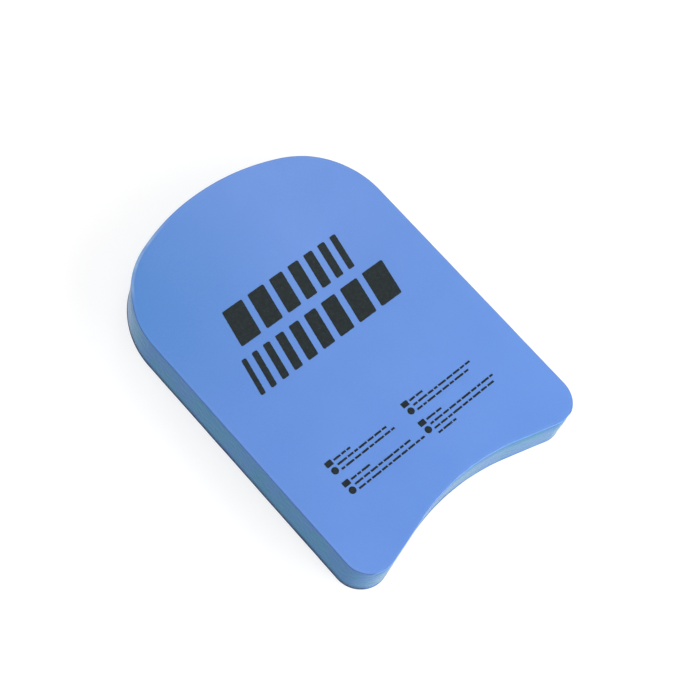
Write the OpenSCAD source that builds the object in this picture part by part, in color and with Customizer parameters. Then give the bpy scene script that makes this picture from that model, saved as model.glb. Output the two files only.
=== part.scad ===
// Kickboard float: a thick die-cut slab of closed-cell EVA foam between two thin
// smooth skins, with ink prints on its upper skin.
// Millimetres. +Y points to the nose, +Z is up, the origin is the middle of the underside.

/* [Board] */
// Length from the nose to the tail corners
board_len = 382; // [340:1:440]
// Width across the straight sides
board_w = 280; // [260:1:320]
// Thickness of the foam, both skins included
board_t = 42; // [25:1:60]

/* [Outline] */
// Radius of the broad nose arc
nose_r = 230; // [200:5:260]
// Radius of each shoulder
shoulder_r = 88; // [60:1:110]
// Radius of each tail corner
tail_r = 27; // [15:1:35]
// Angle of the straight run from a tail corner into the scoop
scoop_slope = 15.5; // [8:0.5:22]
// Length of that straight run
scoop_run = 45; // [20:1:60]

/* [Layers] */
// Thickness of each smooth skin
skin_t = 2; // [1:0.5:4]
// How far the cut core wall stands back from the edges of the skins
core_setback = 0.4; // [0.2:0.1:1.5]

/* [Print] */
// Thickness of the ink film
ink_t = 0.15; // [0.1:0.05:0.5]
// Lean of the bars, in degrees
bar_lean = 12; // [0:1:25]
// Radius of the corners of the bars
bar_corner_r = 1.5; // [0.5:0.1:2]
// Gap between two bars
bar_gap = 7; // [4:0.5:9]
// Width of each bar as a share of the wider bar beside it
bar_ratio = 0.82; // [0.7:0.01:0.95]
// Height of a bar in either row
bar_h = 37; // [25:1:45]
// Gap between the two rows of bars
row_gap = 10; // [5:1:20]
// Length of the upper row
upper_row_len = 148; // [120:1:180]
// Number of bars in the upper row
upper_bars = 7; // [4:1:9]
// Length of the lower row
lower_row_len = 183; // [150:1:210]
// Number of bars in the lower row
lower_bars = 9; // [4:1:11]

/* [Info blocks] */
// Width of the plain tag that opens a block
tag_w = 7.5; // [5:0.5:10]
// Height of that tag
tag_h = 5.5; // [4:0.5:8]
// Diameter of the disc below the tag
disc_d = 7; // [5:0.5:9]
// Gap between the tag and the disc
disc_gap = 2; // [0.5:0.5:3]
// Height of a line of dashes
dash_h = 1.9; // [1:0.1:3]
// Gap between two dashes
dash_gap = 1.4; // [0.8:0.1:3]
// Distance from one line of dashes to the next
line_pitch = 5.4; // [4:0.1:8]

/* [Hidden] */
$fn = 96;

foam_colour = "#6d93dd";
wall_colour = "#5f8fb4";
ink_colour = "#28353a";

// Centres of the arcs on the right-hand half of the outline
nose_y = board_len / 2;
nose_c = [0, nose_y - nose_r];
shoulder_x = board_w / 2 - shoulder_r;
shoulder_rise = sqrt(pow(nose_r - shoulder_r, 2) - pow(shoulder_x, 2));
shoulder_c = [shoulder_x, nose_c.y + shoulder_rise];
tail_c = [board_w / 2 - tail_r, tail_r - board_len / 2];

// Direction in which the nose arc meets the shoulder arc
shoulder_turn = atan2(shoulder_rise, shoulder_x);

// The straight run faces run_dir, and ends where the scoop arc begins
run_dir = [-sin(scoop_slope), -cos(scoop_slope)];
run_end = tail_c + tail_r * run_dir + scoop_run * [run_dir.y, -run_dir.x];
scoop_r = run_end.x / sin(scoop_slope);
scoop_c = run_end + scoop_r * run_dir;

// Largest turn between two neighbouring points of an arc
arc_step = 2;

// The middle of the bars, and the top left corner of each info block with its line lengths
bars_x = -3;
bars_y = 40;
info_blocks = [
    [[-94, -84.5], [20, 62, 68]],
    [[-94, -107.5], [24, 68, 81]],
    [[0, -84.5], [19.5, 73, 66]],
    [[0, -107.5], [20.5, 81, 77.5, 22.5]]
];
text_indent = tag_w + 2;
disc_drop = tag_h + disc_gap + disc_d / 2;
tag_corner_r = 0.7;

// Lengths that the dashes take in turn
dash_lengths = [8, 5, 11, 6.5, 4, 9.5, 7];
shortest_dash = 2;

function unit(v) = v / norm(v);

// Points along an arc, from one direction to another, that may leave out the first one
function arc(centre, radius, from, to, first = 0) = [
    let (steps = ceil(abs(to - from) / arc_step))
        for (i = [first : steps])
            let (turn = from + (to - from) * i / steps)
                centre + radius * [cos(turn), sin(turn)]
];

// Outline of the board, anticlockwise from the middle of the scoop, stepped inwards by the inset
function board_outline(inset) =
    let (
        right = concat(
            arc(scoop_c, scoop_r + inset, 90, 90 - scoop_slope),
            arc(tail_c, tail_r - inset, -90 - scoop_slope, 0),
            arc(shoulder_c, shoulder_r - inset, 0, shoulder_turn),
            arc(nose_c, nose_r - inset, shoulder_turn, 90, first = 1)
        )
    )
    concat(right, [for (i = [len(right) - 2 : -1 : 1]) [-right[i].x, right[i].y]]);

// Corner points of a convex outline, anticlockwise, with each corner rounded to radius r
function rounded(points, r, steps = 5) = [
    for (i = [0 : len(points) - 1])
        let (
            count = len(points),
            here = points[i],
            before = unit(here - points[(i + count - 1) % count]),
            after = unit(points[(i + 1) % count] - here),
            turn = acos(before * after),
            start = atan2(-before.x, before.y),
            centre = here + unit(after - before) * r / cos(turn / 2)
        )
        for (k = [0 : steps])
            centre + r * [cos(start + turn * k / steps), sin(start + turn * k / steps)]
];

// One layer of the board
module layer(bottom, thickness, inset = 0) {
    translate([0, 0, bottom])
        linear_extrude(thickness)
            polygon(board_outline(inset));
}

// A film of ink lying on the upper skin
module ink() {
    color(ink_colour)
        translate([0, 0, board_t])
            linear_extrude(ink_t)
                children();
}

// Leaning bars that get narrower along the row, from the left, or from the right if flipped
module bar_row(row_len, bars, flipped = false) {
    lean = bar_h * tan(bar_lean);
    ink_len = row_len - lean - (bars - 1) * bar_gap;
    first_w = ink_len * (1 - bar_ratio) / (1 - pow(bar_ratio, bars));
    for (i = [0 : bars - 1]) {
        place = flipped ? bars - 1 - i : i;
        width = first_w * pow(bar_ratio, place);
        before = first_w * (1 - pow(bar_ratio, place)) / (1 - bar_ratio) + place * bar_gap;
        left = flipped ? row_len - lean - before - width : before;
        corners = [
            [left, 0], [left + width, 0],
            [left + width + lean, bar_h], [left + lean, bar_h]
        ];
        polygon(rounded(corners, min(bar_corner_r, width * 0.3)));
    }
}

// Dashes that fill one line, and stop at its length
module dash_line(length, first = 0, start = 0) {
    dash = min(dash_lengths[first % len(dash_lengths)], length - start);
    if (dash >= shortest_dash) {
        translate([start, -dash_h])
            square([dash, dash_h]);
        dash_line(length, first + 1, start + dash + dash_gap);
    }
}

module bottom_skin() {
    color(foam_colour)
        layer(0, skin_t);
}

module foam_core() {
    color(wall_colour)
        layer(skin_t, board_t - 2 * skin_t, core_setback);
}

module top_skin() {
    color(foam_colour)
        layer(board_t - skin_t, skin_t);
}

module upper_print_bars() {
    ink()
        translate([bars_x - upper_row_len / 2, bars_y + row_gap / 2])
            bar_row(upper_row_len, upper_bars);
}

module lower_print_bars() {
    ink()
        translate([bars_x - lower_row_len / 2, bars_y - row_gap / 2 - bar_h])
            bar_row(lower_row_len, lower_bars, flipped = true);
}

module info_tags() {
    corners = [[0, -tag_h], [tag_w, -tag_h], [tag_w, 0], [0, 0]];
    ink()
        for (block = info_blocks)
            translate(block[0])
                polygon(rounded(corners, tag_corner_r));
}

module info_discs() {
    ink()
        for (block = info_blocks)
            translate(block[0] + [tag_w / 2, -disc_drop])
                circle(d = disc_d);
}

module info_dashes() {
    first_drop = (tag_h - dash_h) / 2;
    ink()
        for (b = [0 : len(info_blocks) - 1])
            for (row = [0 : len(info_blocks[b][1]) - 1])
                translate(info_blocks[b][0] + [text_indent, -first_drop - row * line_pitch])
                    dash_line(info_blocks[b][1][row], first = 2 * row + 3 * b);
}

bottom_skin();
foam_core();
top_skin();
upper_print_bars();
lower_print_bars();
info_tags();
info_discs();
info_dashes();
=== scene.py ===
"""Kickboard float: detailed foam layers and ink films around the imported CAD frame. Units are metres."""

import math

import bmesh
import bpy
import numpy as np
from mathutils import Matrix, Vector


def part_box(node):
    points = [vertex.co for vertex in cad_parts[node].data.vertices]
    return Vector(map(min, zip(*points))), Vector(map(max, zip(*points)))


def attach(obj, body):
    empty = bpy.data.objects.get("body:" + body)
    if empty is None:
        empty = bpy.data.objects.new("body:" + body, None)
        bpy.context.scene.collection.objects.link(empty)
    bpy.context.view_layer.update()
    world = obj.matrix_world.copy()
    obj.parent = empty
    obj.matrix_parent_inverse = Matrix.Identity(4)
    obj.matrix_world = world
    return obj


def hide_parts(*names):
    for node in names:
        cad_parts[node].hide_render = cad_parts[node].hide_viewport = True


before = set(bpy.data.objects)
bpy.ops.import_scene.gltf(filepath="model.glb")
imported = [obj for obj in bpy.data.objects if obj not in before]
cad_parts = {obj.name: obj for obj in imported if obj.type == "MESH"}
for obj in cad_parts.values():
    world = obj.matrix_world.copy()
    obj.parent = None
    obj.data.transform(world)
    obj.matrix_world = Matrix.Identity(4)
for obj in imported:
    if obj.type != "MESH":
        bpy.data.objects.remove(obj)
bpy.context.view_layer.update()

MM = 0.001

# ---------------------------------------------------------------- sizes
# The CAD layers give the width, the length and the heights.
skin_low, skin_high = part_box("top_skin")
core_low, core_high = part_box("foam_core")
HALF_W = skin_high.x
HALF_LEN = skin_high.y
BOARD_T = skin_high.z
SKIN_T = skin_high.z - skin_low.z
CORE_SETBACK = HALF_W - core_high.x

# The outline's arcs, and the slope in degrees and the length of the straight runs beside the scoop
NOSE_R = 230 * MM
SHOULDER_R = 88 * MM
TAIL_R = 27 * MM
SCOOP_SLOPE = 15.5
SCOOP_RUN = 45 * MM

# Steps of the mesh across the board and along its straight sides, and the rings of the core's wall
STEPS_ACROSS = 200
STEPS_ALONG = 160
CORE_RINGS = 30

# Rounded edges of the skins and of the cut core, and the steps round each of them
SKIN_EDGE_R = 0.7 * MM
SKIN_EDGE_STEPS = 6
SKIN_INNER_R = 0.3 * MM
SKIN_INNER_STEPS = 3
CORE_EDGE_R = 0.7 * MM
CORE_EDGE_STEPS = 4

# A face is a grid up to this far from its edge. A layer's hidden end cap ends halfway there.
EDGE_BAND = 4 * MM
HIDDEN_BAND = EDGE_BAND * 0.5

# Stretches of the upper edge: the outward directions, in degrees, where each one starts, is full,
# stops being full and ends
RUBBED_SHOULDER = (98, 114, 134, 152)
PRESSED_SHOULDER = (134, 146, 150, 166)
PRESSED_SCOOP = (-125, -112, -78, -65)

# Handling has pressed these stretches inwards, less and less down to a depth
SHOULDER_PRESS = 0.6 * MM
SCOOP_PRESS = 0.9 * MM
PRESS_REACH = 11 * MM

# The shoulder's edge is rubbed down and paler over a band, and the rest of the edge faintly paler. The
# paleness is partly wear and partly a painted highlight on the edge.
RUB_BAND = 3.2 * MM
RUB_DROP = 0.6 * MM
FAINT_WEAR_HIGHLIGHT = 0.08

# Rings beside a skin's edge: the distance from the edge, and the shares of paler wear with painted
# highlight and of painted seam shade
SKIN_RINGS = (
    (RUB_BAND, 0, 0),
    (RUB_BAND * 0.85, 0.8, 0),
    (RUB_BAND * 0.4, 1, 0),
    (SKIN_EDGE_R, 1, 0.12),
)

# Painted seam shade where a skin's rounded edge starts and ends, and on the side below it. On the lower
# skin it is the painted shadow at the floor.
TOP_EDGE_SHADE = (0.2, 0.75)
TOP_SIDE_SHADE = 0.85
BOTTOM_EDGE_SHADE = (0, 1)
BOTTOM_SIDE_SHADE = 1

# What a skin's paler wear with painted highlight and the core's painted seam shade lose at each step
# round an edge
WEAR_HIGHLIGHT_FADE = 0.25
CORE_SHADE_FADE = 0.2

# How much less the painted seam shade shows in the scoop, where more light falls
SCOOP_SHADE_LOSS = 0.7

# Painted shade makes the cut wall darker towards its lower edge, standing in for the shadow at the floor:
# the share at the edge, and the height it starts at
PAINTED_BASE_SHADE = 0.95
PAINTED_BASE_SHADE_REACH = 10 * MM

# Painted shade makes the face a deeper blue round a place at the left shoulder, where less light falls,
# given as shares of the half width and the half length: fully up to one distance, and not at all past
# another
SHOULDER_SHADE_AT = (-0.95, 0.75)
SHOULDER_SHADE_NEAR = 25 * MM
SHOULDER_SHADE_FAR = 170 * MM

# How far the surfaces wander from true
FACE_WAVE = 0.16 * MM
WALL_WAVE = 0.10 * MM
WALL_GRAIN = 0.07 * MM
SKIN_EDGE_WAVE = 0.08 * MM

# Waves reach this high at most. A face is sunk by a little more than its two kinds add up to.
WAVE_LIMIT = 1.6
SLOW_SHARE = 0.6
RIPPLE_SHARE = 0.08
FACE_SINK = 1.1

# The lower skin takes its waves from another place, this many metres away along X and along Y
FACE_WAVE_SHIFT = 0.5
EDGE_WAVE_SHIFT = 1

# Ink: how far it stands above the face and goes into it, its cells, and its ragged edge
INK_T = 0.11 * MM
INK_SINK = 0.04 * MM
INK_CELL = 1.25 * MM
INK_RAGGED = 0.09 * MM

# Points closer than this are one point, and a cut that is this near to a point goes through it
WELD = 0.001 * MM
CUT_NEAR = 0.02 * MM

# Faces that meet within this angle are one face
FLAT_ANGLE = math.radians(1)

# The faces round an ink film's rim have normals with a smaller Z than this
RIM_NORMAL = 0.5


# ---------------------------------------------------------------- outline
def arc(centre, radius, start, end, hollow=False):
    """An arc in degrees: its length, and its points and outward normals at shares t of its length."""
    length = radius * math.radians(abs(end - start))

    def at(t):
        turn = np.radians(start + (end - start) * t)
        ray = np.stack([np.cos(turn), np.sin(turn)], axis=-1)
        return np.array(centre) + radius * ray, -ray if hollow else ray

    return length, at


def line(start, end):
    """A straight stretch with the board on its left, given the same way as an arc."""
    start, end = np.array(start), np.array(end)
    step = end - start
    length = float(np.hypot(*step))
    normal = np.array([step[1], -step[0]]) / length

    def at(t):
        return start + step * t[:, None], np.repeat(normal[None], len(t), axis=0)

    return length, at


def chain(stretches, steps):
    """Points and normals at even distances along stretches in a row, without the last point."""
    lengths = np.array([length for length, _ in stretches])
    ends = np.cumsum(lengths)
    places = np.arange(steps) * ends[-1] / steps
    which = np.minimum(np.searchsorted(ends, places, side="right"), len(stretches) - 1)
    points, normals = np.zeros((steps, 2)), np.zeros((steps, 2))
    for i, (length, at) in enumerate(stretches):
        here = which == i
        share = (places[here] - (ends[i] - lengths[i])) / length
        points[here], normals[here] = at(share)
    return points, normals


def board_outline():
    """Points and outward normals round the board, anticlockwise from the tail end of its left side."""
    nose_y = HALF_LEN - NOSE_R
    shoulder_x = HALF_W - SHOULDER_R
    shoulder_rise = math.sqrt((NOSE_R - SHOULDER_R) ** 2 - shoulder_x**2)
    shoulder_y = nose_y + shoulder_rise
    shoulder_turn = math.degrees(math.atan2(shoulder_rise, shoulder_x))
    tail_x, tail_y = HALF_W - TAIL_R, TAIL_R - HALF_LEN
    lean = math.radians(SCOOP_SLOPE)
    run_start = (tail_x - TAIL_R * math.sin(lean), tail_y - TAIL_R * math.cos(lean))
    run_end = (
        run_start[0] - SCOOP_RUN * math.cos(lean),
        run_start[1] + SCOOP_RUN * math.sin(lean),
    )
    scoop_r = run_end[0] / math.sin(lean)
    scoop_y = run_end[1] - scoop_r * math.cos(lean)
    tail = [
        arc((-tail_x, tail_y), TAIL_R, 180, 270 + SCOOP_SLOPE),
        line((-run_start[0], run_start[1]), (-run_end[0], run_end[1])),
        arc((0, scoop_y), scoop_r, 90 + SCOOP_SLOPE, 90 - SCOOP_SLOPE, hollow=True),
        line(run_end, run_start),
        arc((tail_x, tail_y), TAIL_R, -90 - SCOOP_SLOPE, 0),
    ]
    nose = [
        arc((shoulder_x, shoulder_y), SHOULDER_R, 0, shoulder_turn),
        arc((0, nose_y), NOSE_R, shoulder_turn, 180 - shoulder_turn),
        arc((-shoulder_x, shoulder_y), SHOULDER_R, 180 - shoulder_turn, 180),
    ]
    right = [line((HALF_W, tail_y), (HALF_W, shoulder_y))]
    left = [line((-HALF_W, shoulder_y), (-HALF_W, tail_y))]
    parts = [
        chain(tail, STEPS_ACROSS),
        chain(right, STEPS_ALONG),
        chain(nose, STEPS_ACROSS),
        chain(left, STEPS_ALONG),
    ]
    return tuple(np.concatenate([part[i] for part in parts]) for i in (0, 1))


def stretch(start, full, fade, end):
    """How much each point of the outline belongs to a stretch of the edge, from 0 to 1."""
    turn = np.degrees(np.arctan2(OUTWARD[:, 1], OUTWARD[:, 0]))
    rise = np.clip((turn - start) / (full - start), 0, 1)
    fall = np.clip((end - turn) / (end - fade), 0, 1)
    return (3 - 2 * rise) * rise**2 * (3 - 2 * fall) * fall**2


OUTLINE, OUTWARD = board_outline()
RING = len(OUTLINE)
PRESSED = SHOULDER_PRESS * stretch(*PRESSED_SHOULDER) + SCOOP_PRESS * stretch(*PRESSED_SCOOP)
RUBBED = stretch(*RUBBED_SHOULDER)
SHADE_SHOWS = 1 - SCOOP_SHADE_LOSS * stretch(*PRESSED_SCOOP)


# ---------------------------------------------------------------- wandering surfaces
class Waves:
    """A smooth random field, mostly from -1 to 1: a sum of plane waves between two wavelengths."""

    def __init__(self, seed, count, shortest, longest, dims=2):
        rng = np.random.default_rng(seed)
        ray = rng.normal(size=(count, dims))
        ray /= np.linalg.norm(ray, axis=1)[:, None]
        wavelength = np.exp(rng.uniform(np.log(shortest), np.log(longest), count))
        self.k = ray * (2 * np.pi / wavelength)[:, None]
        self.phase = rng.uniform(0, 2 * np.pi, count)
        self.scale = 1 / math.sqrt(count)

    def __call__(self, points):
        total = np.cos(points @ self.k.T + self.phase).sum(-1) * self.scale
        return np.clip(total, -WAVE_LIMIT, WAVE_LIMIT)


def dents(seed, count, depth, size):
    """Shallow round-bottomed dents at seeded places of a face: a function from points to depths."""
    rng = np.random.default_rng(seed)
    places = rng.uniform((-HALF_W, -HALF_LEN), (HALF_W, HALF_LEN), (count, 2))
    turns = rng.uniform(0, np.pi, count)
    sizes = rng.uniform(*size, (count, 2))
    depths = rng.uniform(*depth, count)

    def at(points):
        total = np.zeros(len(points))
        for place, turn, across, deep in zip(places, turns, sizes, depths):
            ahead = np.array([math.cos(turn), math.sin(turn)])
            aside = np.array([-ahead[1], ahead[0]])
            gap = points - place
            reach = ((gap @ ahead) / across[0]) ** 2 + ((gap @ aside) / across[1]) ** 2
            total += deep * np.exp(-reach)
        return total

    return at


face_waves = Waves(seed=3, count=14, shortest=60 * MM, longest=190 * MM)
face_ripple = Waves(seed=4, count=24, shortest=9 * MM, longest=26 * MM)
top_dents = dents(seed=11, count=16, depth=(0.05 * MM, 0.22 * MM), size=(2.6 * MM, 6.5 * MM))
wall_waves = Waves(seed=5, count=16, shortest=30 * MM, longest=120 * MM, dims=3)
wall_grain = Waves(seed=6, count=60, shortest=3.2 * MM, longest=8 * MM, dims=3)
edge_waves = Waves(seed=7, count=20, shortest=12 * MM, longest=70 * MM)


def face_wander(points):
    """Height of the upper face over the CAD face, which is never above 0."""
    waves = SLOW_SHARE * face_waves(points) + RIPPLE_SHARE * face_ripple(points)
    return -FACE_WAVE * (FACE_SINK - waves) - top_dents(points)


def top_height(points):
    return BOARD_T + face_wander(points)


def bottom_height(points):
    return FACE_WAVE * (FACE_SINK - SLOW_SHARE * face_waves(points + FACE_WAVE_SHIFT))


# ---------------------------------------------------------------- mesh building
def stepped(inset):
    """The outline stepped inwards, by one number or by one per point."""
    return OUTLINE - OUTWARD * np.broadcast_to(inset, RING)[:, None]


def ring_points(inset, height):
    """The stepped outline at a height, which may be one number or one per point."""
    return np.column_stack([stepped(inset), np.broadcast_to(height, RING)])


def face_grid(ring):
    """Points of a four-sided patch that fills a flat ring, indexed [across, along]."""
    across, along = STEPS_ACROSS, STEPS_ALONG
    tail = ring[: across + 1]
    right = ring[across : across + along + 1]
    nose = ring[across + along : 2 * across + along + 1][::-1]
    left = np.concatenate([ring[2 * across + along :], ring[:1]])[::-1]
    u = np.linspace(0, 1, across + 1)[:, None, None]
    v = np.linspace(0, 1, along + 1)[None, :, None]
    sides = (1 - u) * left[None] + u * right[None]
    ends = (1 - v) * tail[:, None] + v * nose[:, None]
    corners = (1 - u) * (1 - v) * tail[0] + u * (1 - v) * tail[-1]
    corners = corners + (1 - u) * v * nose[0] + u * v * nose[-1]
    return sides + ends - corners


def rim_indices(grid):
    """Indices of a grid's border in the order of the ring."""
    return np.concatenate([grid[:-1, 0], grid[-1, :-1], grid[:0:-1, -1], grid[0, :0:-1]])


class Solid:
    """Collects a closed piece's points and faces, and for each point how much paler wear with painted
    highlight and how much painted shade in the seams and at the lower edge it gets.
    """

    def __init__(self):
        self.points, self.worn, self.seam, self.faces = [], [], [], []
        self.count = 0

    def add(self, points, worn=0.0, seam=0.0):
        """Adds points, and returns their indices."""
        first = self.count
        self.points.append(points)
        self.worn.append(np.broadcast_to(worn, len(points)))
        self.seam.append(np.broadcast_to(seam, len(points)))
        self.count += len(points)
        return np.arange(first, self.count)

    def face(self, height_of, inset, down=False):
        """A face of quads inside a ring, at heights given by a function. Returns its border."""
        flat = face_grid(stepped(inset))
        shape = flat.shape[:2]
        flat = flat.reshape(-1, 2)
        index = self.add(np.column_stack([flat, height_of(flat)])).reshape(shape)
        quads = np.stack([index[:-1, :-1], index[1:, :-1], index[1:, 1:], index[:-1, 1:]], -1)
        quads = quads.reshape(-1, 4)
        self.faces.extend((quads[:, ::-1] if down else quads).tolist())
        return rim_indices(index)

    def ring(self, inset, height, worn=0.0, seam=0.0):
        return self.add(ring_points(inset, height), worn, seam)

    def join(self, upper, lower):
        """A band of quads between two rings, seen from outside the board."""
        upper_next, lower_next = np.roll(upper, -1), np.roll(lower, -1)
        self.faces.extend(np.stack([lower, lower_next, upper_next, upper], -1).tolist())

    def stack(self, rings):
        """Bands of quads between rings that follow each other downwards."""
        for upper, lower in zip(rings[:-1], rings[1:]):
            self.join(upper, lower)

    def cap(self, ring, down):
        """A single flat face inside a ring, hidden between two layers."""
        self.faces.append((ring[::-1] if down else ring).tolist())

    def build(self, name):
        mesh = bpy.data.meshes.new(name)
        mesh.from_pydata(np.concatenate(self.points).tolist(), [], self.faces)
        mesh.update()
        for label, values in (("worn", self.worn), ("seam", self.seam)):
            layer = mesh.attributes.new(label, "FLOAT", "POINT")
            layer.data.foreach_set("value", np.concatenate(values).astype(np.float32))
        piece = bpy.data.objects.new(name, mesh)
        bpy.context.scene.collection.objects.link(piece)
        return piece


def smooth_sides(piece):
    """Smooth shading everywhere but on the hidden end caps."""
    for polygon in piece.data.polygons:
        polygon.use_smooth = len(polygon.vertices) == 4


def settle(piece, body, slot, *nodes):
    """Puts a piece on its body, in the place of its CAD nodes."""
    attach(piece, body)
    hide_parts(*nodes)


def quarter(radius, steps):
    """(inset, drop) pairs round a quarter of a circle, from a flat face to a wall."""
    turns = np.linspace(0, np.pi / 2, steps + 1)[1:]
    return [(radius * (1 - math.sin(t)), radius * (1 - math.cos(t))) for t in turns]


def build_skin(name, top):
    """A smooth foam skin with a rounded outer edge. The lower one is turned over, and isn't rubbed."""
    solid = Solid()
    height_of = top_height if top else bottom_height
    sign = -1 if top else 1
    pressed, rubbed = (PRESSED, RUBBED) if top else (0 * PRESSED, 0 * RUBBED)
    first_shade, last_shade = TOP_EDGE_SHADE if top else BOTTOM_EDGE_SHADE
    side_shade = TOP_SIDE_SHADE if top else BOTTOM_SIDE_SHADE
    # Paler edge, partly wear and partly a painted highlight
    pale_edge = rubbed + FAINT_WEAR_HIGHLIGHT
    # Painted seam shade, less where the edge is rubbed
    shows = SHADE_SHOWS * (1 - rubbed)
    waves = edge_waves(OUTLINE + (0 if top else EDGE_WAVE_SHIFT))
    wander = pressed + SKIN_EDGE_WAVE * np.clip(1 + waves, 0, None) / 2
    inner = BOARD_T - SKIN_T if top else SKIN_T

    def surface(inset):
        """Height of the face at a distance from the edge, lower where the edge is rubbed down."""
        drop = RUB_DROP * rubbed * max(1 - inset / RUB_BAND, 0)
        return height_of(stepped(pressed + inset)) + sign * drop

    rings = [solid.face(height_of, pressed + EDGE_BAND, down=not top)]
    for inset, worn, seam in SKIN_RINGS:
        rings.append(solid.ring(pressed + inset, surface(inset), worn * pale_edge, seam * shows))
    outer = surface(SKIN_EDGE_R)
    for i, (inset, drop) in enumerate(quarter(SKIN_EDGE_R, SKIN_EDGE_STEPS)):
        worn = max(1 - WEAR_HIGHLIGHT_FADE * i, 0)
        seam = first_shade + (last_shade - first_shade) * i / (SKIN_EDGE_STEPS - 1)
        rings.append(solid.ring(wander + inset, outer + sign * drop, worn * pale_edge, seam * shows))
    rings.append(solid.ring(wander, inner - sign * SKIN_INNER_R, 0, side_shade * shows))
    for inset, drop in quarter(SKIN_INNER_R, SKIN_INNER_STEPS)[::-1][1:]:
        rings.append(solid.ring(wander + inset, inner - sign * drop, 0, shows))
    rings.append(solid.ring(SKIN_INNER_R + wander, inner, 0, shows))
    rings.append(solid.ring(pressed + HIDDEN_BAND, inner, 0, 1))
    solid.stack(rings if top else rings[::-1])
    solid.cap(rings[-1], down=top)
    piece = solid.build(name)
    smooth_sides(piece)
    return piece


def build_core():
    """The thick foam core: cut walls with fine unevenness, and softened edges next to the skins."""
    solid = Solid()
    low, high = core_low.z, core_high.z
    rings = [
        solid.ring(PRESSED + HIDDEN_BAND, high, seam=1),
        solid.ring(PRESSED + CORE_SETBACK + CORE_EDGE_R, high, seam=1),
    ]
    # The core's edges next to the skins get painted seam shade
    edge = [
        (inset, drop, 1 - CORE_SHADE_FADE * i)
        for i, (inset, drop) in enumerate(quarter(CORE_EDGE_R, CORE_EDGE_STEPS))
    ]
    levels = [(inset, high - drop, seam) for inset, drop, seam in edge]
    for level in np.linspace(high - CORE_EDGE_R, low + CORE_EDGE_R, CORE_RINGS)[1:-1]:
        # Painted shadow of the floor on the lowest part of the wall
        levels.append((0, level, PAINTED_BASE_SHADE * max(1 - (level - low) / PAINTED_BASE_SHADE_REACH, 0) ** 2))
    levels += [(inset, low + drop, seam) for inset, drop, seam in edge[::-1]]
    for inset, level, seam in levels:
        here = ring_points(0, level)
        wander = WALL_WAVE * wall_waves(here) + WALL_GRAIN * wall_grain(here)
        pressed = PRESSED * max(1 - (high - level) / PRESS_REACH, 0) ** 2
        rings.append(solid.ring(CORE_SETBACK + inset + wander + pressed, level, seam=seam * SHADE_SHOWS))
    rings.append(solid.ring(CORE_SETBACK + CORE_EDGE_R, low, seam=1))
    rings.append(solid.ring(HIDDEN_BAND, low, seam=1))
    solid.stack(rings)
    solid.cap(rings[0], down=False)
    solid.cap(rings[-1], down=True)
    piece = solid.build("cut_foam_core")
    smooth_sides(piece)
    return piece


# ---------------------------------------------------------------- ink films
ragged_x = Waves(seed=21, count=30, shortest=0.8 * MM, longest=4 * MM)
ragged_y = Waves(seed=22, count=30, shortest=0.8 * MM, longest=4 * MM)


def build_ink(node, name):
    """A film of ink with a CAD film's outline, cut into small cells, that follows the face below it."""
    bm = bmesh.new()
    bm.from_mesh(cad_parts[node].data)
    bmesh.ops.remove_doubles(bm, verts=bm.verts, dist=WELD)
    bmesh.ops.dissolve_limit(bm, angle_limit=FLAT_ANGLE, verts=bm.verts, edges=bm.edges)
    low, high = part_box(node)
    for axis in (0, 1):
        normal = Vector((0, 0, 0))
        normal[axis] = 1
        for i in range(1, math.ceil((high[axis] - low[axis]) / INK_CELL)):
            place = low.copy()
            place[axis] += i * INK_CELL
            everything = bm.verts[:] + bm.edges[:] + bm.faces[:]
            bmesh.ops.bisect_plane(bm, geom=everything, dist=CUT_NEAR, plane_co=place, plane_no=normal)
    middle = (low.z + high.z) / 2
    flat = np.array([v.co[:2] for v in bm.verts])
    base = top_height(flat)
    stray = INK_RAGGED * np.column_stack([ragged_x(flat), ragged_y(flat)])
    for v, z, (dx, dy) in zip(bm.verts, base, stray):
        if any(abs(face.normal.z) < RIM_NORMAL for face in v.link_faces):
            v.co.x += dx
            v.co.y += dy
        v.co.z = z + (INK_T if v.co.z > middle else -INK_SINK)
    bm.normal_update()
    for face in bm.faces:
        face.smooth = abs(face.normal.z) > RIM_NORMAL
    for edge in bm.edges:
        edge.smooth = all(face.smooth for face in edge.link_faces)
    mesh = bpy.data.meshes.new(name)
    bm.to_mesh(mesh)
    bm.free()
    piece = bpy.data.objects.new(name, mesh)
    bpy.context.scene.collection.objects.link(piece)
    return piece


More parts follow.
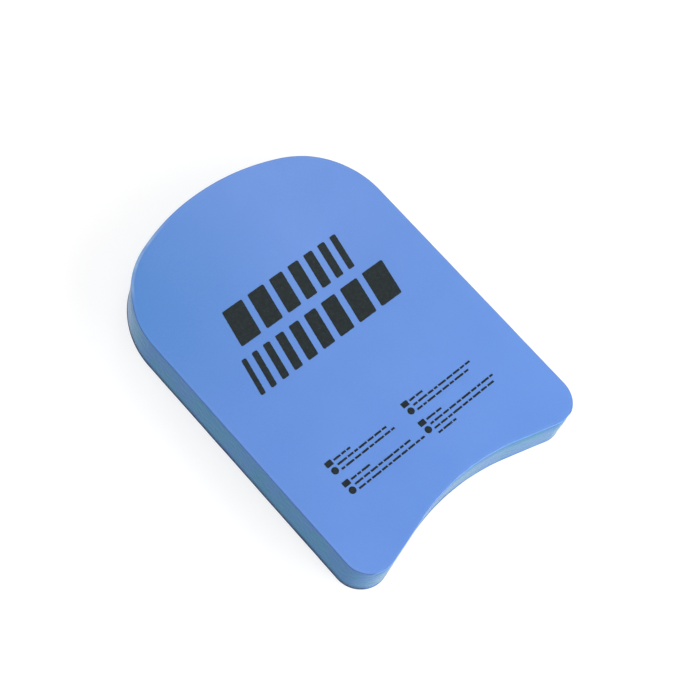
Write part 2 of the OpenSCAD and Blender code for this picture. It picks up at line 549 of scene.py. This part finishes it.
# ---------------------------------------------------------------- materials
class Nodes:
    """Short calls that add nodes to a material. Scales are in cells per metre."""

    def __init__(self, name):
        self.material = bpy.data.materials.new(name)
        self.material.use_nodes = True
        self.tree = self.material.node_tree
        self.shader = self.tree.nodes["Principled BSDF"]
        self.place = self.add("ShaderNodeTexCoord").outputs["Object"]

    def add(self, kind, **settings):
        node = self.tree.nodes.new(kind)
        for key, value in settings.items():
            setattr(node, key, value)
        return node

    def link(self, source, target):
        self.tree.links.new(source, target)

    def stretched(self, scale):
        mapping = self.add("ShaderNodeMapping")
        mapping.inputs["Scale"].default_value = scale
        self.link(self.place, mapping.inputs["Vector"])
        return mapping.outputs["Vector"]

    def noise(self, scale, detail=2.0, roughness=0.5, place=None):
        node = self.add("ShaderNodeTexNoise")
        node.inputs["Scale"].default_value = scale
        node.inputs["Detail"].default_value = detail
        node.inputs["Roughness"].default_value = roughness
        self.link(place or self.place, node.inputs["Vector"])
        return node.outputs["Fac"]

    def cells(self, scale):
        node = self.add("ShaderNodeTexVoronoi")
        node.inputs["Scale"].default_value = scale
        self.link(self.place, node.inputs["Vector"])
        return node.outputs["Distance"]

    def attribute(self, name):
        return self.add("ShaderNodeAttribute", attribute_name=name).outputs["Fac"]

    def distance(self, point):
        node = self.add("ShaderNodeVectorMath", operation="DISTANCE")
        self.link(self.place, node.inputs[0])
        node.inputs[1].default_value = point
        return node.outputs["Value"]

    def spread(self, value, low, high, to_low=0.0, to_high=1.0):
        node = self.add("ShaderNodeMapRange")
        node.inputs["From Min"].default_value = low
        node.inputs["From Max"].default_value = high
        node.inputs["To Min"].default_value = to_low
        node.inputs["To Max"].default_value = to_high
        self.link(value, node.inputs["Value"])
        return node.outputs["Result"]

    def maths(self, operation, first, second):
        node = self.add("ShaderNodeMath", operation=operation)
        for socket, value in zip(node.inputs, (first, second)):
            if isinstance(value, (int, float)):
                socket.default_value = value
            else:
                self.link(value, socket)
        return node.outputs["Value"]

    def mix(self, share, first, second):
        node = self.add("ShaderNodeMix", data_type="RGBA")
        sockets = [s for s in node.inputs if s.type == "RGBA"]
        self.link(share, node.inputs["Factor"])
        for socket, value in zip(sockets, (first, second)):
            if isinstance(value, tuple):
                socket.default_value = (*value, 1)
            else:
                self.link(value, socket)
        return next(s for s in node.outputs if s.type == "RGBA")

    def bump(self, height, strength, distance, below=None):
        node = self.add("ShaderNodeBump")
        node.inputs["Strength"].default_value = strength
        node.inputs["Distance"].default_value = distance
        self.link(height, node.inputs["Height"])
        if below is not None:
            self.link(below, node.inputs["Normal"])
        return node.outputs["Normal"]


SKIN_BLUE = (0.115, 0.250, 0.640)
SKIN_BLUE_PALE = (0.200, 0.355, 0.770)
SKIN_BLUE_DEEP = (0.099, 0.227, 0.608)
# Painted shade: the deeper blue round the left shoulder
SHOULDER_SHADE_BLUE = (0.066, 0.210, 0.555)
# Paler edge: partly wear, partly a painted highlight
WEAR_HIGHLIGHT_BLUE = (0.270, 0.410, 0.640)
# Painted shade in the seams between the layers and at the lower edges
SKIN_EDGE_SHADE_BLUE = (0.014, 0.080, 0.290)
WALL_BLUE = (0.049, 0.144, 0.322)
WALL_TEAL = (0.042, 0.158, 0.277)
WALL_PALE = (0.085, 0.216, 0.388)
DEEP_SHADE_BLUE = (0.010, 0.034, 0.090)
INK_DARK = (0.008, 0.013, 0.014)
INK_GREY = (0.019, 0.028, 0.030)
FLOOR_DARK = (0.35, 0.35, 0.35)
FLOOR_LIGHT = (0.37, 0.37, 0.37)
FLOOR_GLOW = 0.69

# How much of the paler blue the skin's grain and the wall's cells take
GRAIN_SHARE = 0.22
CELL_SHARE = 0.30


def skin_material():
    """Smooth foam face: soft cloudiness, fine grain, faint rub marks, painted shade round the left
    shoulder, a paler edge that is partly wear and partly a painted highlight, and painted dark shade in
    the seam.
    """
    n = Nodes("smooth_foam_skin")
    cloud = n.spread(n.noise(scale=9, detail=3), 0.3, 0.7)
    grain = n.spread(n.noise(scale=1500), 0.3, 0.7)
    colour = n.mix(cloud, SKIN_BLUE_DEEP, SKIN_BLUE)
    # Painted shade round the left shoulder, where less light falls
    shoulder = (SHOULDER_SHADE_AT[0] * HALF_W, SHOULDER_SHADE_AT[1] * HALF_LEN, BOARD_T)
    shoulder_shade = n.spread(n.distance(shoulder), SHOULDER_SHADE_NEAR, SHOULDER_SHADE_FAR, to_low=1, to_high=0)
    colour = n.mix(shoulder_shade, colour, SHOULDER_SHADE_BLUE)
    colour = n.mix(n.maths("MULTIPLY", grain, GRAIN_SHARE), colour, SKIN_BLUE_PALE)
    rubbed = n.noise(scale=150, detail=4, roughness=0.65, place=n.stretched((1, 0.12, 1)))
    rub_mask = n.spread(rubbed, 0.70, 0.78, to_high=0.35)
    colour = n.mix(rub_mask, colour, SKIN_BLUE_PALE)
    # The edge's paleness is partly wear and partly a painted highlight
    wear_highlight_breakup = n.spread(n.noise(scale=70, detail=4), 0.3, 0.62, to_low=0.25, to_high=0.9)
    colour = n.mix(n.maths("MULTIPLY", n.attribute("worn"), wear_highlight_breakup), colour, WEAR_HIGHLIGHT_BLUE)
    # Painted shade: the dark seam between skin and core, and the painted shadow at the floor on the lower
    # skin
    seam = n.attribute("seam")
    colour = n.mix(n.spread(seam, 0, 0.6), colour, SKIN_EDGE_SHADE_BLUE)
    colour = n.mix(n.spread(seam, 0.8, 1), colour, DEEP_SHADE_BLUE)
    n.link(colour, n.shader.inputs["Base Color"])
    smudge = n.noise(scale=28, detail=4, roughness=0.6)
    gloss = n.spread(smudge, 0.3, 0.7, to_low=0.33, to_high=0.43)
    n.link(gloss, n.shader.inputs["Roughness"])
    n.shader.inputs["Specular IOR Level"].default_value = 0.45
    fine = n.bump(n.noise(scale=2200), strength=0.25, distance=0.05 * MM)
    peel = n.bump(n.noise(scale=420), strength=0.25, distance=0.10 * MM, below=fine)
    n.link(peel, n.shader.inputs["Normal"])
    return n.material


def wall_material():
    """Cut foam: sliced cells, drag lines from the blade, teal and blue patches, nicks, a soft sheen, and
    painted shade in the seam under the skin and towards the lower edge.
    """
    n = Nodes("cut_foam_wall")
    patch = n.spread(n.noise(scale=48, detail=3, roughness=0.55), 0.42, 0.58)
    colour = n.mix(patch, WALL_TEAL, WALL_BLUE)
    cell = n.cells(scale=1400)
    walls = n.spread(cell, 0.25, 0.6)
    colour = n.mix(n.maths("MULTIPLY", walls, CELL_SHARE), colour, WALL_PALE)
    drag = n.noise(scale=420, detail=3, roughness=0.6, place=n.stretched((1, 1, 0.04)))
    colour = n.mix(n.spread(drag, 0.55, 0.8, to_high=0.12), colour, WALL_PALE)
    nick = n.spread(n.noise(scale=190, detail=3), 0.72, 0.80, to_high=0.6)
    colour = n.mix(nick, colour, WALL_PALE)
    # Painted shade in the seam under the skin and towards the lower edge
    colour = n.mix(n.spread(n.attribute("seam"), 0.2, 1), colour, DEEP_SHADE_BLUE)
    n.link(colour, n.shader.inputs["Base Color"])
    n.link(n.spread(walls, 0, 1, to_low=0.46, to_high=0.62), n.shader.inputs["Roughness"])
    n.shader.inputs["Specular IOR Level"].default_value = 0.04
    n.shader.inputs["Sheen Weight"].default_value = 0.7
    n.shader.inputs["Sheen Roughness"].default_value = 0.25
    pores = n.bump(cell, strength=0.3, distance=0.25 * MM)
    lines = n.bump(drag, strength=0.12, distance=0.2 * MM, below=pores)
    n.link(lines, n.shader.inputs["Normal"])
    return n.material


def ink_material():
    """Screen-printed ink: near black, a little uneven, with pinholes where the foam shows."""
    n = Nodes("printed_ink")
    uneven = n.spread(n.noise(scale=260, detail=5, roughness=0.65), 0.3, 0.75)
    colour = n.mix(uneven, INK_DARK, INK_GREY)
    pinholes = n.spread(n.noise(scale=1300, detail=1), 0.74, 0.80, to_high=0.7)
    colour = n.mix(pinholes, colour, SKIN_BLUE_DEEP)
    n.link(colour, n.shader.inputs["Base Color"])
    n.link(n.spread(uneven, 0, 1, to_low=0.38, to_high=0.55), n.shader.inputs["Roughness"])
    n.shader.inputs["Specular IOR Level"].default_value = 0.25
    grain = n.bump(n.noise(scale=1500), strength=0.3, distance=0.05 * MM)
    n.link(grain, n.shader.inputs["Normal"])
    return n.material


def floor_material():
    """A matt, almost white floor that glows a little, so that shadows on it stay faint."""
    n = Nodes("pale_floor")
    tone = n.spread(n.noise(scale=1.5, detail=3), 0.3, 0.7)
    n.link(n.mix(tone, FLOOR_DARK, FLOOR_LIGHT), n.shader.inputs["Base Color"])
    n.shader.inputs["Roughness"].default_value = 0.9
    n.shader.inputs["Specular IOR Level"].default_value = 0.2
    n.shader.inputs["Emission Color"].default_value = (1, 1, 1, 1)
    n.shader.inputs["Emission Strength"].default_value = FLOOR_GLOW
    return n.material


# ---------------------------------------------------------------- the object
top_skin = build_skin("smooth_top_skin", top=True)
bottom_skin = build_skin("smooth_bottom_skin", top=False)
core = build_core()
skin_foam = skin_material()
foam_pieces = (
    (top_skin, "top_skin", "skin_foam", skin_foam),
    (bottom_skin, "bottom_skin", "skin_foam", skin_foam),
    (core, "foam_core", "cut_foam", wall_material()),
)
for piece, node, slot, material in foam_pieces:
    piece.data.materials.append(material)
    settle(piece, "root", slot, node)

ink = ink_material()
ink_nodes = {
    "upper_print_bars": "upper_ink_bars",
    "lower_print_bars": "lower_ink_bars",
    "info_tags": "ink_tags",
    "info_discs": "ink_discs",
    "info_dashes": "ink_dashes",
}
for node, name in ink_nodes.items():
    film = build_ink(node, name)
    film.data.materials.append(ink)
    settle(film, "root", "print_ink", node)


# ---------------------------------------------------------------- floor, lights and camera
def build_floor(flat=2.4, bend=1.0, height=2.8, turns=96, steps=12):
    """A round floor that curves up into a backdrop at its rim."""
    angles = np.linspace(0, np.pi / 2, steps + 1)
    profile = [(flat + bend * math.sin(a), bend * (1 - math.cos(a))) for a in angles]
    profile.append((flat + bend, height))
    around = np.linspace(0, 2 * np.pi, turns, endpoint=False)
    points = [(r * math.cos(t), r * math.sin(t), z) for r, z in profile for t in around]
    faces = [tuple(range(turns))]
    for level in range(len(profile) - 1):
        for i in range(turns):
            here, after = level * turns + i, level * turns + (i + 1) % turns
            faces.append((here, here + turns, after + turns, after))
    mesh = bpy.data.meshes.new("floor")
    mesh.from_pydata(points, [], faces)
    for polygon in mesh.polygons[1:]:
        polygon.use_smooth = True
    mesh.materials.append(floor_material())
    floor = bpy.data.objects.new("floor", mesh)
    bpy.context.scene.collection.objects.link(floor)


SOFTBOX_SIZE = 1.1
GLOW_BOX_SIZE = 0.7
WORLD_STRENGTH = 0.02


def softbox(name, place, power, size=SOFTBOX_SIZE, glossy=True):
    """A square light aimed at the board, that may be kept out of the glossy reflections."""
    light = bpy.data.lights.new(name, "AREA")
    light.shape = "SQUARE"
    light.size = size
    light.energy = power
    lamp = bpy.data.objects.new(name, light)
    lamp.visible_glossy = glossy
    lamp.location = place
    lamp.rotation_euler = (-Vector(place)).to_track_quat("-Z", "Y").to_euler()
    bpy.context.scene.collection.objects.link(lamp)


def build_world():
    world = bpy.data.worlds.new("studio")
    world.use_nodes = True
    background = world.node_tree.nodes["Background"]
    background.inputs["Color"].default_value = (1, 1, 1, 1)
    background.inputs["Strength"].default_value = WORLD_STRENGTH
    bpy.context.scene.world = world


# Angles in degrees, the lens and the sensor in millimetres
CAMERA_AZIMUTH = -64.48
CAMERA_HEIGHT = 61.15
CAMERA_ROLL = 24.61
CAMERA_TARGET = Vector((0.0210, -0.0068, 0))
CAMERA_DISTANCE = 1.5461
CAMERA_LENS = 85
SENSOR = 36


def build_camera():
    """The camera looks down across the left side and the tail, and is rolled about its own axis."""
    azimuth, height, roll = (math.radians(a) for a in (CAMERA_AZIMUTH, CAMERA_HEIGHT, CAMERA_ROLL))
    back = Vector(
        (
            math.sin(azimuth) * math.cos(height),
            -math.cos(azimuth) * math.cos(height),
            math.sin(height),
        )
    )
    level = Vector((math.cos(azimuth), math.sin(azimuth), 0))
    upright = back.cross(level)
    right = math.cos(roll) * level + math.sin(roll) * upright
    up = back.cross(right)
    data = bpy.data.cameras.new("camera")
    data.lens = CAMERA_LENS
    data.sensor_width = SENSOR
    data.dof.use_dof = False
    camera = bpy.data.objects.new("camera", data)
    turn = Matrix((right, up, back)).transposed().to_4x4()
    camera.matrix_world = Matrix.Translation(CAMERA_TARGET + CAMERA_DISTANCE * back) @ turn
    bpy.context.scene.collection.objects.link(camera)
    bpy.context.scene.camera = camera


build_floor()

# The four low softboxes don't show in the gloss. The other two do.
softbox("tail_softbox", (0.35, -1.75, 0.6), power=29, glossy=False)
softbox("nose_softbox", (0.0, 1.8, 0.55), power=12, glossy=False)
softbox("right_softbox", (1.2, -1.2, 0.9), power=15, glossy=False)
softbox("left_softbox", (-1.7, 0.1, 0.8), power=6.5, glossy=False)
softbox("high_softbox", (-0.1, -0.4, 1.9), power=6.7)
softbox("glow_softbox", (0.97, 0.85, 1.55), power=4, size=GLOW_BOX_SIZE)

build_world()
build_camera()
bpy.context.scene.view_settings.view_transform = "Standard"
